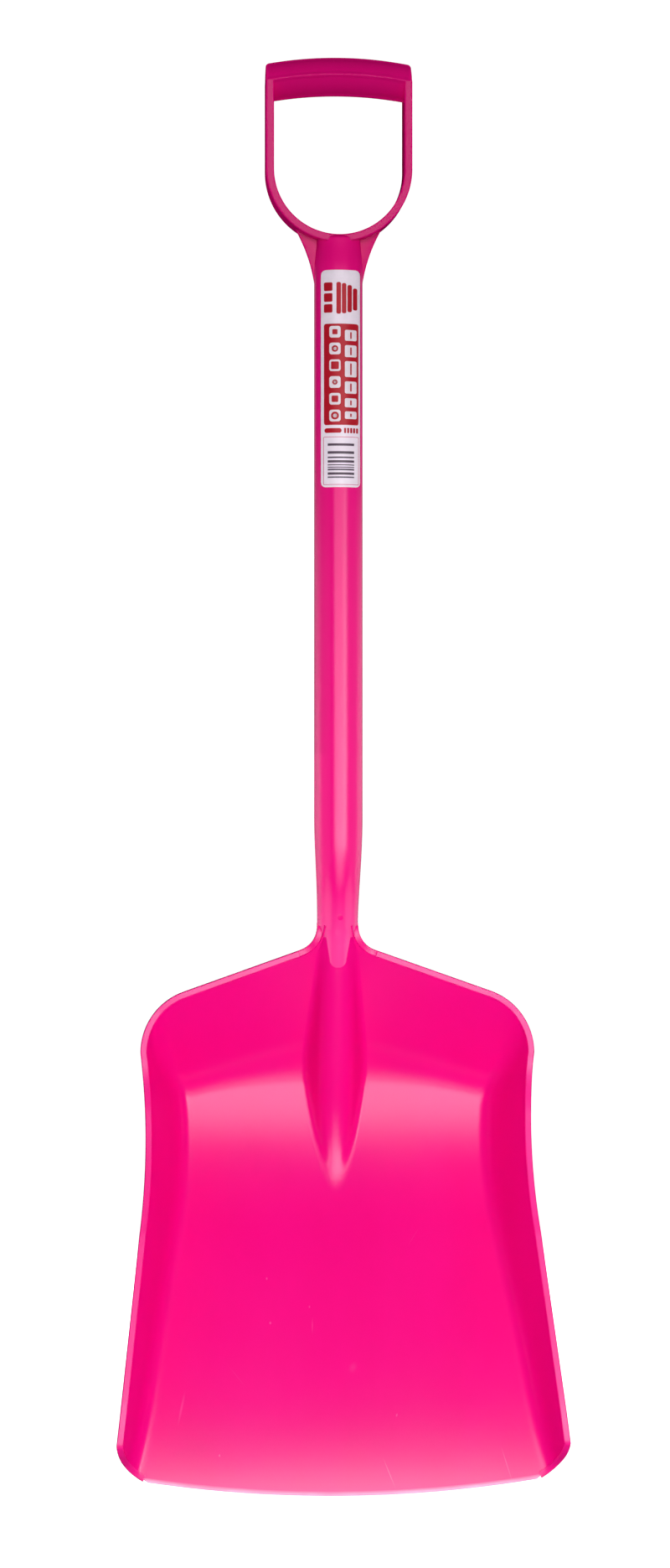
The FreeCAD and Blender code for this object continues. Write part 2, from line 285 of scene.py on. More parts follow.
def foot_share(z):
    return clamp01((z - frog_foot_z) / (frog_full_z - frog_foot_z))


def ridge_radius(z):
    if z > frog_full_z:
        rise = clamp01((z - frog_full_z) / (neck_bottom_z - frog_full_z))
        return frog_radius + (neck_radius - frog_radius) * rise
    return frog_tip_radius + (frog_radius - frog_tip_radius) * foot_share(z)


def ridge_slope(z):
    """Steepness of the frog's flanks: shallow at its foot, steep where it meets the neck."""
    if z > flank_neck_z:
        rise = clamp01((z - flank_neck_z) / (seam_z - flank_neck_z))
        return flank_slope + (flank_neck_slope - flank_slope) * rise * rise
    return flank_foot_slope + (flank_slope - flank_foot_slope) * foot_share(z)


def round_rise(x, radius, slope):
    """How far a round crest has fallen away at x, with straight flanks at its sides."""
    edge = radius * slope / math.hypot(1.0, slope)
    inner = min(abs(x), edge)
    return radius - math.sqrt(radius * radius - inner * inner) + slope * (abs(x) - inner)


def ridge_y(x, z):
    return crest_y(z) + round_rise(x, ridge_radius(z), ridge_slope(z))


def walled_pan_y(x, z):
    """The scooping face, carried on level above the rim of the back wall."""
    if z > floor_end_z:
        return max(pan_y(x, z), rim_back_y)
    return pan_y(x, z)


def frog_fillet(z):
    """Depth over which the frog's flanks round into the pan."""
    return fillet_tip + (fillet_full - fillet_tip) * foot_share(z)


def frog_y(x, z):
    return smooth_min(walled_pan_y(x, z), ridge_y(x, z), frog_fillet(z))


# ---- outline of the blade


def arc_through(first, via, last, count):
    """Points along the circular arc through three points, ends included."""
    (ax, az), (bx, bz), (cx, cz) = first, via, last
    scale = 2.0 * (ax * (bz - cz) + bx * (cz - az) + cx * (az - bz))
    aa, bb, cc = ax * ax + az * az, bx * bx + bz * bz, cx * cx + cz * cz
    ox = (aa * (bz - cz) + bb * (cz - az) + cc * (az - bz)) / scale
    oz = (aa * (cx - bx) + bb * (ax - cx) + cc * (bx - ax)) / scale
    radius = math.hypot(ax - ox, az - oz)
    start = math.atan2(az - oz, ax - ox)
    sweep = (math.atan2(cz - oz, cx - ox) - start) % (2.0 * math.pi)
    middle = (math.atan2(bz - oz, bx - ox) - start) % (2.0 * math.pi)
    if middle > sweep:
        sweep -= 2.0 * math.pi
    points = []
    for i in range(count + 1):
        turn = start + sweep * i / count
        points.append((ox + radius * math.cos(turn), oz + radius * math.sin(turn)))
    return points


def between(first, last, share):
    return (first[0] + (last[0] - first[0]) * share, first[1] + (last[1] - first[1]) * share)


def line_points(first, last, count):
    step = [(last[0] - first[0]) / count, (last[1] - first[1]) / count]
    return [(first[0] + step[0] * i, first[1] + step[1] * i) for i in range(count + 1)]


def lip_arc_z(x):
    radius = (corner_half ** 2 + corner_z ** 2) / (2.0 * corner_z)
    return radius - math.sqrt(radius * radius - x * x)


def neck_fillet_centre():
    """Centre of the round between the neck and the blade's top edge."""
    x = neck_radius + neck_fillet
    return x, top_peak_z - top_slope * x + neck_fillet * math.hypot(1.0, top_slope)


def half_outline(inset):
    """Right side of the blade from the lip's corner up to the neck."""
    corner_steps, side_steps, hip_steps = 16, 54, 50
    shoulder_steps, top_steps, fillet_steps = 30, 44, 16
    lean = math.hypot(1.0, top_slope)
    out = (top_slope / lean, 1.0 / lean)
    fillet_x, fillet_z = neck_fillet_centre()
    fillet_radius = neck_fillet + inset
    radius = shoulder_radius - inset
    corner_x = corner_half - corner_inset * inset
    mouth = (mouth_half - inset, mouth_z)
    via = (corner_mid[0] + corner_mid_inset[0] * inset, corner_mid[1] + corner_mid_inset[1] * inset)
    hip = (hip_half - inset, hip_z)
    shoulder_low = (shoulder_x + radius, shoulder_z)
    shoulder_high = (shoulder_x + out[0] * radius, shoulder_z + out[1] * radius)
    half_way = math.atan2(out[1], out[0]) / 2.0
    shoulder_via = (shoulder_x + radius * math.cos(half_way), shoulder_z + radius * math.sin(half_way))
    fillet_low = (fillet_x - out[0] * fillet_radius, fillet_z - out[1] * fillet_radius)
    fillet_high = (neck_radius - inset, fillet_z)
    turn = (math.atan2(-out[1], -out[0]) % (2.0 * math.pi) + math.pi) / 2.0
    fillet_via = (fillet_x + fillet_radius * math.cos(turn), fillet_z + fillet_radius * math.sin(turn))
    points = arc_through((corner_x, lip_arc_z(corner_x)), via, mouth, corner_steps)
    points += line_points(mouth, hip, side_steps)[1:]
    points += arc_through(hip, (waist_half - inset, waist_z), shoulder_low, hip_steps)[1:]
    points += arc_through(shoulder_low, shoulder_via, shoulder_high, shoulder_steps)[1:]
    points += line_points(shoulder_high, fillet_low, top_steps)[1:]
    points += arc_through(fillet_low, fillet_via, fillet_high, fillet_steps)[1:]
    return points


# ---- making meshes


pieces = {}


def new_piece(name, solid, material, nodes):
    """One closed, smooth-shaded piece that rides on the shovel and stands for CAD nodes."""
    points, faces = solid
    mesh = bpy.data.meshes.new(name)
    placed = [(x * MM, (y + axis_y) * MM, z * MM) for x, y, z in points]
    mesh.from_pydata(placed, [], faces)
    work = bmesh.new()
    work.from_mesh(mesh)
    bmesh.ops.remove_doubles(work, verts=work.verts, dist=weld_distance)
    bmesh.ops.dissolve_degenerate(work, edges=work.edges, dist=weld_distance)
    bmesh.ops.recalc_face_normals(work, faces=work.faces)
    for face in work.faces:
        face.smooth = True
    for edge in work.edges:
        if len(edge.link_faces) == 2:
            edge.smooth = edge.calc_face_angle() < math.radians(crease_angle)
    work.to_mesh(mesh)
    work.free()
    piece = bpy.data.objects.new(name, mesh)
    pieces[name] = piece
    bpy.context.scene.collection.objects.link(piece)
    mesh.materials.append(material)
    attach(piece, "root")
    if nodes:
        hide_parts(*nodes)


def skin_rows(rows, capped=True):
    """Points and faces of a surface through closed rows of points."""
    width = len(rows[0])
    points = [point for row in rows for point in row]
    faces = []
    for i in range(len(rows) - 1):
        for j in range(width):
            k = (j + 1) % width
            faces.append((i * width + j, i * width + k, (i + 1) * width + k, (i + 1) * width + j))
    if capped:
        faces.append(tuple(range(width)))
        faces.append(tuple(range((len(rows) - 1) * width, len(rows) * width)))
    return points, faces


def slab(front_rows, back_rows):
    """Closed solid between a front and a back grid: each row becomes one closed ring."""
    rings = [list(front) + list(reversed(back)) for front, back in zip(front_rows, back_rows)]
    width = len(front_rows[0])
    points, faces = skin_rows(rings, False)
    size = 2 * width
    for base in (0, (len(rings) - 1) * size):
        for j in range(width - 1):
            faces.append((base + j, base + j + 1, base + size - 2 - j, base + size - 1 - j))
    return points, faces


def quarter_turn(steps):
    """Evenly spaced angles from nothing to a right angle."""
    return [math.pi / 2.0 * i / steps for i in range(steps + 1)]


def eased(count):
    """Shares from -1 to 1 that crowd towards both ends."""
    return [math.sin(math.pi / 2.0 * (2.0 * i / count - 1.0)) for i in range(count + 1)]


def round_row(radius, z, sides, centre_y=0.0, stretch=1.0):
    """One level ring of points, stretched front to back where the tube leans."""
    ring = []
    for i in range(sides):
        turn = 2.0 * math.pi * i / sides
        ring.append((radius * math.sin(turn), centre_y - radius * stretch * math.cos(turn), z))
    return ring


def widest(test):
    """Largest half width that passes a test, found by halving."""
    low, high = 0.0, search_reach
    for _ in range(halvings):
        middle = (low + high) / 2.0
        if test(middle):
            low = middle
        else:
            high = middle
    return low


def blade_pan(material):
    """Floor and walls of the scoop, down to its thin cutting lip."""
    fade_height = 60.0
    across_steps = 112
    boundary = half_outline(rim_width)
    start_z = boundary[0][1]
    front_rows = []
    back_rows = []
    for edge_x, edge_z in boundary:
        fade = clamp01(1.0 - (edge_z - start_z) / fade_height)
        front = []
        back = []
        for share in eased(across_steps):
            x = edge_x * share
            z = edge_z + fade * (lip_arc_z(abs(x)) - lip_arc_z(edge_x))
            front.append((x, pan_y(x, z), z))
            behind = pan_back_point(x, z)
            back.append((behind.x, behind.y, max(behind.z, lip_arc_z(abs(behind.x)))))
        front_rows.append(front)
        back_rows.append(back)
    new_piece("blade_pan", slab(front_rows, back_rows), material, ["blade_pan", "blade_lip"])


def outline_half_x(z):
    """Half width of the neck's flare where it runs down to the blade's top edge."""
    fillet_x, fillet_z = neck_fillet_centre()
    drop = fillet_z - z
    if drop >= neck_fillet:
        return fillet_x
    return fillet_x - math.sqrt(neck_fillet ** 2 - drop ** 2)


def within_flare(half, z):
    """Half width, held inside that flare near the blade's top edge."""
    if z > top_peak_z - flare_drop:
        return min(half, outline_half_x(z))
    return half


def footprint(z):
    """Half width over which the frog stands proud of the pan, at one height."""
    return widest(lambda x: ridge_y(x, z) - walled_pan_y(x, z) < frog_fillet(z))


def frog(material):
    """Tapered rib with filleted flanks, running out to a point on the floor."""
    stations = 130
    across_steps = 56
    crowding = 1.35
    sink = 1.4
    tip_step = 0.25
    tip_width = 0.01
    start = frog_foot_z
    while footprint(start - tip_step) > tip_width:
        start -= tip_step
    front_rows = []
    back_rows = []
    for i in range(stations + 1):
        z = start + (seam_z - start) * (i / stations) ** crowding
        half = within_flare(footprint(z), z)
        across = [half * s for s in eased(across_steps)]
        front_rows.append([(x, frog_y(x, z), z) for x in across])
        back_rows.append([(x, walled_pan_y(x, z) + sink, z) for x in across])
    new_piece("frog", slab(front_rows, back_rows), material, ["frog"])


def rim(name, side, material, root_material):
    """Rounded flange up one side of the blade, with its end at the neck as a piece of its own."""
    path = half_outline(0.0)
    section = soft_loop(rim_width, rim_depth, rim_soft)
    run_out = 14.0
    least_share = 0.6
    root_length = 25.0
    root_sink = 6.0
    root_step = 2.5
    lengths = [0.0]
    for before, after in zip(path, path[1:]):
        lengths.append(lengths[-1] + math.hypot(after[0] - before[0], after[1] - before[1]))
    rows = []
    split = 0
    for i, (x, z) in enumerate(path):
        before = path[max(i - 1, 0)]
        after = path[min(i + 1, len(path) - 1)]
        length = math.hypot(after[0] - before[0], after[1] - before[1])
        out_x, out_z = (after[1] - before[1]) / length, -(after[0] - before[0]) / length
        to_neck = lengths[-1] - lengths[i]
        if to_neck > root_length:
            split = i
        y = pan_y(x - out_x * rim_width, z - out_z * rim_width)
        share = least_share + (1.0 - least_share) * math.sin(clamp01(lengths[i] / run_out) * math.pi / 2.0)
        proud = rim_proud * share * clamp01((to_neck - root_length) / root_step)
        sunk = root_sink * clamp01(1.0 - to_neck / run_out) ** 2
        ring = []
        for across, deep in section:
            inward = rim_width / 2.0 - across
            depth = (deep + rim_depth / 2.0) * share - proud + sunk
            ring.append((side * (x - out_x * inward), y + depth, z - out_z * inward))
        rows.append(ring)
    new_piece(name + "_root", skin_rows(rows[split:]), root_material, [name])
    new_piece(name, skin_rows(rows[:split + 1]), material, [name])


def soft_loop(wide, deep, soft):
    """Box section round its centre with soft corners, its flats cut up to keep them flat."""
    corner_steps = 4
    flat_cuts = (0.04, 0.35, 0.65, 0.96)
    loop = []
    corners = [(1, 1, 0.0), (-1, 1, 0.5), (-1, -1, 1.0), (1, -1, 1.5)]
    for across, up, turn in corners:
        for i in range(corner_steps + 1):
            angle = math.pi * (turn + 0.5 * i / corner_steps)
            loop.append((across * (wide / 2.0 - soft) + soft * math.cos(angle),
                         up * (deep / 2.0 - soft) + soft * math.sin(angle)))
    filled = []
    size = corner_steps + 1
    for index in range(len(loop)):
        here = loop[index]
        filled.append(here)
        if index % size == size - 1:
            after = loop[(index + 1) % len(loop)]
            filled += [between(here, after, share) for share in flat_cuts]
    return filled


def neck(material):
    """Cranked tube, and the boss that its back makes on the back of the blade."""
    sides = 72
    stations = 90
    overlap = 1.5
    low = seam_z - overlap
    rows = []
    for i in range(stations + 1):
        z = shaft_bottom_z + (low - shaft_bottom_z) * i / stations
        bent = clamp01((neck_bend_z + neck_bend_reach - z) / (2.0 * neck_bend_reach))
        rows.append(round_row(neck_radius_at(z), z, sides, neck_axis_y(z), math.hypot(1.0, neck_lean * bent)))
    points, faces = skin_rows(rows)
    boss_points, boss_faces = neck_boss()
    offset = len(points)
    faces += [tuple(index + offset for index in face) for face in boss_faces]
    new_piece("neck", (points + boss_points, faces), material, ["neck"])


def boss_back_y(x, z):
    """Depth of the neck's back as it sinks into the back wall."""
    sunk = clamp01((neck_bottom_z - z) / (neck_bottom_z - neck_tail_z))
    radius = neck_radius + (neck_tail_radius - neck_radius) * sunk
    return neck_axis_y(z) + radius * math.hypot(1.0, neck_lean) - round_rise(x, radius, boss_slope)


def pan_back_y(x, z):
    """Depth of the pan's back face, straight behind a place on its front."""
    least_facing = 0.3
    return walled_pan_y(x, z) + sheet_thickness / max(normal_of(walled_pan_y, x, z).y, least_facing)


def neck_boss():
    """Filleted bulge behind the back wall where the neck sinks into it."""
    fillet = 7.0
    stations = 70
    across_steps = 48
    overlap = 2.0
    tip_step = 0.5
    tip_depth = 0.2
    sink = 1.6
    rows_front = []
    rows_back = []
    high = neck_bottom_z + overlap
    low = high
    while boss_back_y(0.0, low) - pan_back_y(0.0, low) > -fillet + tip_depth:
        low -= tip_step
    for i in range(stations + 1):
        z = low + (high - low) * i / stations
        half = within_flare(widest(lambda x: pan_back_y(x, z) - boss_back_y(x, z) < fillet), z)
        back = []
        front = []
        for s in eased(across_steps):
            x = half * s
            back.append((x, smooth_max(pan_back_y(x, z), boss_back_y(x, z), fillet), z))
            front.append((x, walled_pan_y(x, z) + sink, z))
        rows_front.append(front)
        rows_back.append(back)
    return slab(rows_front, rows_back)


def neck_highlight_pad(material):
    """Low pad, barely proud of the frog, that carries the neck's painted highlight down on to the frog and
    ends in a round tip.
    """
    wide_top, wide_low = 10.5, 6.6
    tip_radius = 6.6
    tip_z = 401.0
    lift = 0.22
    edge_width = 0.8
    edge_sink = 0.03
    sink = 0.3
    fade = 5.0
    tip_gap = 0.02
    top_z = seam_z + 6.0
    stations = 48
    crowding = 1.5
    across_steps = 24
    front_rows = []
    back_rows = []
    for i in range(stations + 1):
        z = tip_z + tip_gap + (top_z - tip_z) * (i / stations) ** crowding
        up = clamp01((z - tip_z - tip_radius) / (top_z - tip_z - tip_radius))
        half = wide_low + (wide_top - wide_low) * up
        if z < tip_z + tip_radius:
            half = math.sqrt(tip_radius ** 2 - (tip_z + tip_radius - z) ** 2)
        front = []
        back = []
        for s in eased(across_steps):
            x = half * s
            inside = min(1.0 - abs(s), (z - tip_z) / tip_radius + tip_gap) * half
            rise = lift * (1.0 - math.exp(-inside / edge_width)) * clamp01((top_z - z) / fade) - edge_sink
            front.append((x, frog_y(x, z) - rise, z))
            back.append((x, frog_y(x, z) + sink, z))
        front_rows.append(front)
        back_rows.append(back)
    new_piece("neck_highlight_pad", slab(front_rows, back_rows), material, ["neck"])


def gate_mark(material):
    """Small round witness mark left by the mould's gate on the front of the neck."""
    centre_x, centre_z = 1.2, 440.5
    radius = 2.2
    least_radius = 0.01
    height = 0.12
    sink = 0.4
    steps = 6
    sides = 32
    rows = []
    for rise in quarter_turn(steps):
        reach = radius * math.cos(rise) + least_radius
        bulge = height * math.sin(rise)
        ring = []
        for j in range(sides):
            turn = 2.0 * math.pi * j / sides
            x = centre_x + reach * math.cos(turn)
            z = centre_z + reach * math.sin(turn)
            stretch = math.hypot(1.0, neck_lean)
            front = neck_axis_y(z) - stretch * math.sqrt(neck_radius_at(z) ** 2 - x * x)
            ring.append((x, front - bulge, z))
        rows.append(ring)
    back = [(x, y + sink, z) for x, y, z in rows[0]]
    new_piece("gate_mark", skin_rows([back] + rows), material, ["neck"])


def shaft(material):
    """Straight round shaft between the neck and the socket."""
    stations = 24
    rows = []
    for i in range(stations + 1):
        z = shaft_bottom_z + (shaft_top_z - shaft_bottom_z) * i / stations
        rows.append(round_row(shaft_radius, z, shaft_sides))
    new_piece("shaft_tube", skin_rows(rows), material, ["shaft_tube"])


def socket(material):
    """Tapered collar with a rounded shoulder under the D."""
    top_radius = 17.2
    top_gap = 0.6
    round_over = 3.2
    taper_steps = 12
    round_steps = 8
    top_z = strap_low.z + strap_thickness - top_gap
    profile = []
    for i in range(taper_steps + 1):
        share = i / taper_steps
        z = shaft_top_z + (top_z - round_over - shaft_top_z) * share
        ease = share * share * (3.0 - 2.0 * share)
        profile.append((shaft_radius + (top_radius - shaft_radius) * ease, z))
    for turn in quarter_turn(round_steps)[1:]:
        radius = top_radius - round_over * (1.0 - math.cos(turn))
        profile.append((radius, top_z - round_over + round_over * math.sin(turn)))
    rows = [round_row(radius, z, shaft_sides) for radius, z in profile]
    new_piece("handle_socket", skin_rows(rows), material, ["handle_socket"])


def d_strap(material):
    """Strap with soft edges, bent into the sides and round bottom of the D."""
    outer = (strap_high.x - strap_low.x) / 2.0
    middle = outer - strap_thickness / 2.0
    bow_z = strap_low.z + outer
    depth = strap_high.y - strap_low.y
    arm_top = bar_low.z + bar_height / 2.0
    arm_steps = 8
    bow_steps = 80
    soft = 1.0
    path = []
    for i in range(arm_steps + 1):
        path.append((-middle, arm_top + (bow_z - arm_top) * i / arm_steps, -1.0, 0.0))
    for i in range(1, bow_steps):
        turn = math.pi + math.pi * i / bow_steps
        out_x, out_z = math.cos(turn), math.sin(turn)
        path.append((middle * out_x, bow_z + middle * out_z, out_x, out_z))
    for i in range(arm_steps + 1):
        path.append((middle, bow_z + (arm_top - bow_z) * i / arm_steps, 1.0, 0.0))
    section = soft_loop(strap_thickness, depth, soft)
    rows = []
    for x, z, out_x, out_z in path:
        rows.append([(x + out_x * a, b, z + out_z * a) for a, b in section])
    new_piece("d_strap", skin_rows(rows), material, ["d_strap"])


def bar_section():
    """Section of the grip bar: four nearly flat facets with softly rounded corners."""
    deep = (bar_high.y - bar_low.y) / 2.0
    high = bar_height / 2.0
    bulge = 1.3
    corner_share = 0.13
    corner_steps = 8
    facet_steps = 14
    pull = 0.5 * corner_share
    tips = [(deep, 0.0), (0.0, high), (-deep, 0.0), (0.0, -high)]
    section = []
    for index, tip in enumerate(tips):
        before = tips[index - 1]
        after = tips[(index + 1) % 4]
        start = between(tip, before, corner_share)
        end = between(tip, after, corner_share)
        outside = (tip[0] * (1.0 + pull), tip[1] * (1.0 + pull))
        for i in range(corner_steps + 1):
            share = i / corner_steps
            rest = 1.0 - share
            section.append([rest * rest * a + 2.0 * rest * share * b + share * share * c
                            for a, b, c in zip(start, outside, end)])
        far_start = between(after, tip, corner_share)
        way = (tip[0] + after[0], tip[1] + after[1])
        reach = math.hypot(way[0], way[1])
        for i in range(1, facet_steps):
            share = i / facet_steps
            swell = bulge * 4.0 * share * (1.0 - share)
            flat = between(end, far_start, share)
            section.append((flat[0] + way[0] / reach * swell, flat[1] + way[1] / reach * swell))
    return section


def grip_bar(material):
    """Crowned bar: its upper half caps the strap, its lower half fits between the arms."""
    half = bar_high.x
    crown_z = bar_high.z - bar_height / 2.0
    arm_inside = (strap_high.x - strap_low.x) / 2.0 - strap_thickness
    bite = 1.0
    round_over = 2.6
    end_ease = 0.055
    ease_reach = 8.0
    cap_overlap = 0.4
    cap_gap = 0.01
    half_steps = 24
    round_steps = 6
    stations = [(arm_inside + bite) * i / half_steps for i in range(-half_steps, half_steps + 1)]
    section = bar_section()
    rows = []

    def ring(x, shrink, half_only):
        """Bar's section at one place, or only the upper half of it that caps the strap."""
        turn = x / bar_sweep
        axis_z = crown_z - bar_sweep * (1.0 - math.cos(turn))
        points = []
        level = 1.0 - end_ease * clamp01((abs(x) - arm_inside + ease_reach) / ease_reach)
        for depth, height in section:
            scale = 1.0 - shrink / (bar_height / 2.0)
            up = max(height, -cap_overlap) if half_only else height
            points.append((x, depth * scale * level, axis_z + up * scale))
        return points

    outside = []
    for turn in quarter_turn(round_steps):
        outside.append((half - round_over + round_over * math.sin(turn), round_over * (1.0 - math.cos(turn))))
    for x, shrink in reversed(outside):
        rows.append(ring(-x, shrink, True))
    rows.append(ring(stations[0] - cap_gap, 0.0, True))
    for x in stations:
        rows.append(ring(x, 0.0, False))
    rows.append(ring(stations[-1] + cap_gap, 0.0, True))
    for x, shrink in outside:
        rows.append(ring(x, shrink, True))
    new_piece("grip_bar", skin_rows(rows), material, ["grip_bar"])


def web(name, side, material):
    """Thin gusset with a soft edge, sweeping from the shaft up to the D."""
    outer = (strap_high.x - strap_low.x) / 2.0
    bow_z = strap_low.z + outer
    bite = 2.0
    root_x = 8.0
    soft = 1.0
    edge_steps = 40
    round_steps = 4
    head = (web_head_x, bow_z - math.sqrt((outer - bite) ** 2 - web_head_x ** 2))
    edge = arc_through(web_foot, web_waist, head, edge_steps)
    tuck = outer - strap_thickness / 2.0
    half = web_thickness / 2.0
    rows = []
    for x, z in edge:
        under = tuck ** 2 - (bow_z - z) ** 2
        inner_x = max(root_x, math.sqrt(under)) if under > 0.0 else root_x
        ring = [(side * inner_x, -half, z)]
        for turn in quarter_turn(round_steps):
            ring.append((side * (x - soft + soft * math.sin(turn)), -half + soft - soft * math.cos(turn), z))
        for turn in quarter_turn(round_steps):
            ring.append((side * (x - soft + soft * math.cos(turn)), half - soft + soft * math.sin(turn), z))
        ring.append((side * inner_x, half, z))
        rows.append(ring)
    new_piece(name, skin_rows(rows), material, [name])


# ---- label, in mm from its left and top edges

# each bar of the mark: its left edge, then its upper and lower ends; the other lists hold only such ends
mark_bars = [(24.6, 14.0, 31.0), (20.2, 11.6, 32.6), (15.8, 10.2, 33.6), (11.6, 9.4, 34.0)]
block_spans = [(46.4, 54.8), (58.2, 67.4), (70.6, 82.8), (86.2, 95.6), (99.2, 106.2), (109.4, 115.2)]
bar_spans = [(134.2, 136.0), (140.2, 142.2), (144.4, 145.6), (147.2, 149.0), (150.4, 151.2),
             (152.2, 153.0), (153.8, 155.0), (156.6, 158.4), (159.8, 160.8)]
paper_lift = 0.20
ink_lifts = {"panel": 0.26, "print": 0.32, "glyph": 0.38}
paper_corner = 3.5
mark_bar_width = 3.6
name_pitch = 8.4
icon_top = 43.4
icon_pitch = 12.96
icon_size = 9.0
glyph_x = 10.5
round_share = 0.95
square_share = 0.3
note_pitch = 2.4


def wrapped_patch(name, x_low, x_high, z_low, z_high, corner, lift, material, nodes=()):
    """Rounded patch lying on the shaft, a thin closed shell."""
    thick = 0.06
    columns = 24
    rows = 30
    front_rows = []
    back_rows = []
    for i in range(rows + 1):
        share = 0.5 - 0.5 * math.cos(math.pi * i / rows)
        z = z_low + (z_high - z_low) * share
        near_end = min(z - z_low, z_high - z)
        pull = 0.0
        if near_end < corner:
            pull = corner - math.sqrt(max(corner ** 2 - (corner - near_end) ** 2, 0.0))
        front = []
        back = []
        for j in range(columns + 1):
            x = x_low + pull + (x_high - x_low - 2.0 * pull) * j / columns
            outer = shaft_radius + lift
            inner = outer - thick
            front.append((x, -math.sqrt(outer ** 2 - x ** 2), z))
            back.append((x, -math.sqrt(inner ** 2 - x ** 2), z))
        front_rows.append(front)
        back_rows.append(back)
    new_piece(name, slab(front_rows, back_rows), material, list(nodes))


# ---- materials


def srgb(red, green, blue):
    """Linear colour from 8-bit display values."""
    linear = []
    for value in (red, green, blue):
        share = value / 255.0
        linear.append(share / 12.92 if share <= 0.04045 else ((share + 0.055) / 1.055) ** 2.4)
    return (linear[0], linear[1], linear[2], 1.0)


def node(tree, kind, **values):
    made = tree.nodes.new(kind)
    for key, value in values.items():
        setattr(made, key, value)
    return made


def set_inputs(made, values):
    for key, value in values.items():
        made.inputs[key].default_value = value


def noise(tree, place, scale, detail):
    made = node(tree, "ShaderNodeTexNoise")
    set_inputs(made, {"Scale": scale, "Detail": detail, "Roughness": noise_roughness})
    tree.links.new(place, made.inputs["Vector"])
    return made.outputs["Fac"]


def stretched(tree, place, stretch):
    made = node(tree, "ShaderNodeMapping")
    set_inputs(made, {"Scale": stretch})
    tree.links.new(place, made.inputs["Vector"])
    return made.outputs["Vector"]


def ranged(tree, source, low, high, to_low, to_high):
    """Value stretched from one range to another and held inside it."""
    made = node(tree, "ShaderNodeMapRange")
    set_inputs(made, {"From Min": low, "From Max": high, "To Min": to_low, "To Max": to_high})
    tree.links.new(source, made.inputs["Value"])
    return made.outputs["Result"]


def mixed(tree, share, first, second):
    made = node(tree, "ShaderNodeMix", data_type="RGBA")
    tree.links.new(share, made.inputs["Factor"])
    for socket_name, value in (("A", first), ("B", second)):
        target = [s for s in made.inputs if s.name == socket_name and s.type == "RGBA"][0]
        if isinstance(value, tuple):
            target.default_value = value
        else:
            tree.links.new(value, target)
    return [s for s in made.outputs if s.type == "RGBA"][0]


def paled(tree, colour, place, pale, low_z, high_z):
    """Colour that turns pale below one height and is itself above another."""
    height = node(tree, "ShaderNodeSeparateXYZ")
    tree.links.new(place, height.inputs[0])
    share = ranged(tree, height.outputs["Z"], low_z, high_z, 1.0, 0.0)
    return mixed(tree, share, colour, pale)


def maths(tree, operation, first, second):
    """Result of one operation on two values: numbers, or other nodes' outputs."""
    made = node(tree, "ShaderNodeMath", operation=operation)
    for socket_index, value in enumerate((first, second)):
        if isinstance(value, float):
            made.inputs[socket_index].default_value = value
        else:
            tree.links.new(value, made.inputs[socket_index])
    return made.outputs[0]


def lip_painted_highlight(tree, colour, place):
    """Colour with a painted highlight, pale and patchy, along the lip's edge and its arc."""
    split = node(tree, "ShaderNodeSeparateXYZ")
    tree.links.new(place, split.inputs[0])
    lip_radius = (corner_half ** 2 + corner_z ** 2) / (2.0 * corner_z) * MM
    across_squared = maths(tree, "MULTIPLY", split.outputs["X"], split.outputs["X"])
    arc = maths(tree, "MULTIPLY", across_squared, 0.5 / lip_radius)
    above = maths(tree, "SUBTRACT", split.outputs["Z"], arc)
    # painted highlight: full on the lip's arc, fading out higher up
    lit_share = ranged(tree, above, lip_highlight_from, lip_highlight_to, 1.0, 0.0)
    patchy = ranged(tree, noise(tree, place, 25.0, 3.0), 0.3, 0.7, 0.55, 0.95)
    return mixed(tree, maths(tree, "MULTIPLY", lit_share, patchy), colour, lip_highlight_colour)


def scuffs_and_lip_highlight(tree, colour, place):
    """Colour with the pale nicks and hairline scratches of a used scoop, and a painted highlight along the
    lip.
    """
    colour = lip_painted_highlight(tree, colour, place)
    for x, z, half_x, half_z, turn, strength in nicks:
        spot = node(tree, "ShaderNodeMapping", vector_type="TEXTURE")
        set_inputs(spot, {"Location": (x * MM, 0.0, z * MM), "Rotation": (0.0, math.radians(turn), 0.0),
                          "Scale": (half_x * MM, 1.0, half_z * MM)})
        tree.links.new(place, spot.inputs["Vector"])
        reach = node(tree, "ShaderNodeVectorMath", operation="LENGTH")
        tree.links.new(spot.outputs["Vector"], reach.inputs[0])
        share = ranged(tree, reach.outputs["Value"], nick_core, 1.0, nick_strength * strength, 0.0)
        colour = mixed(tree, share, colour, nick_colour)
    return colour


def new_material(name):
    """Material with its node tree and its shader."""
    material = bpy.data.materials.new(name)
    material.use_nodes = True
    return material, material.node_tree, material.node_tree.nodes["Principled BSDF"]


def bumped(tree, shader, height, strength, distance):
    """Gives the shader a fine relief."""
    bump = node(tree, "ShaderNodeBump")
    set_inputs(bump, {"Strength": strength, "Distance": distance})
    tree.links.new(height, bump.inputs["Height"])
    tree.links.new(bump.outputs["Normal"], shader.inputs["Normal"])


